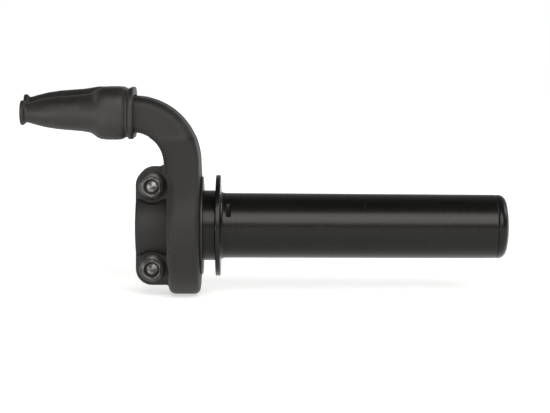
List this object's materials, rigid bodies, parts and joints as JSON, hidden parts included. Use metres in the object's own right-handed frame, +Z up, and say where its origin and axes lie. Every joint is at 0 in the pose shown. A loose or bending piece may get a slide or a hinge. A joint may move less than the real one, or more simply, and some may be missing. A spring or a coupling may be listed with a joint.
{
  "type": "motorcycle throttle grip",
  "caption": "Twist throttle with a split clamp housing, a flanged closed-end tube, and a bent cable entry under a twin-outlet rubber boot.",
  "frame": {"origin": "on the handlebar's axis at the middle of the clamp, in the plane of the two clamp bolts", "axes": "+X along the bar towards the closed end of the twist tube, +Z up, the rider and the bolt heads on the -Y side"},
  "size_m": [0.2143, 0.0604, 0.0906],
  "materials": {
    "housing": "die-cast alloy with a satin black coating",
    "black_steel": "black oxide, worn bright on the edges",
    "bright_steel": "bare turned and ground steel",
    "plated_steel": "zinc plated, machined",
    "natural_nylon": "unfilled nylon, slightly waxy",
    "black_nylon": "black nylon, matt",
    "tube_plastic": "smooth moulded black plastic, satin",
    "boot_rubber": "soft moulded rubber, matt"
  },
  "bodies": {
    "housing": {"housing_rider_half": "housing", "housing_front_half": "housing", "clamp_bolts": "black_steel", "locating_sleeves": "bright_steel", "thrust_washer": "natural_nylon", "cable_stop_plate": "bright_steel", "front_cable_guide": "natural_nylon", "rear_cable_guide": "natural_nylon"},
    "throttle": {"twist_tube": "tube_plastic", "cable_drum": "natural_nylon", "drum_circlip": "bright_steel", "tube_end_cap": "tube_plastic"},
    "washer": {"dust_washer": "black_nylon"},
    "adjuster_front": {"front_adjuster": "plated_steel"},
    "adjuster_rear": {"rear_adjuster": "plated_steel"},
    "locknut_front": {"front_locknut": "plated_steel"},
    "locknut_rear": {"rear_locknut": "plated_steel"},
    "boot": {"cable_boot": "boot_rubber"}
  },
  "joints": [
    {"name": "throttle_twist", "type": "hinge", "parent": "housing", "child": "throttle", "pos_m": [0, 0, 0], "axis": [1, 0, 0], "range_deg": [0, 75]},
    {"name": "dust_washer_spin", "type": "hinge", "parent": "throttle", "child": "washer", "pos_m": [0.0216, 0, 0], "axis": [1, 0, 0], "continuous": true},
    {"name": "front_adjuster_travel", "type": "slide", "parent": "housing", "child": "adjuster_front", "axis": [-1, 0, 0], "range_m": [0, 0.005]},
    {"name": "rear_adjuster_travel", "type": "slide", "parent": "housing", "child": "adjuster_rear", "axis": [-1, 0, 0], "range_m": [0, 0.005]},
    {"name": "front_locknut_travel", "type": "slide", "parent": "adjuster_front", "child": "locknut_front", "axis": [-1, 0, 0], "range_m": [0, 0.002]},
    {"name": "rear_locknut_travel", "type": "slide", "parent": "adjuster_rear", "child": "locknut_rear", "axis": [-1, 0, 0], "range_m": [0, 0.002]},
    {"name": "boot_pull", "type": "slide", "parent": "housing", "child": "boot", "axis": [-1, 0, 0], "range_m": [0, 0.045]}
  ]
}
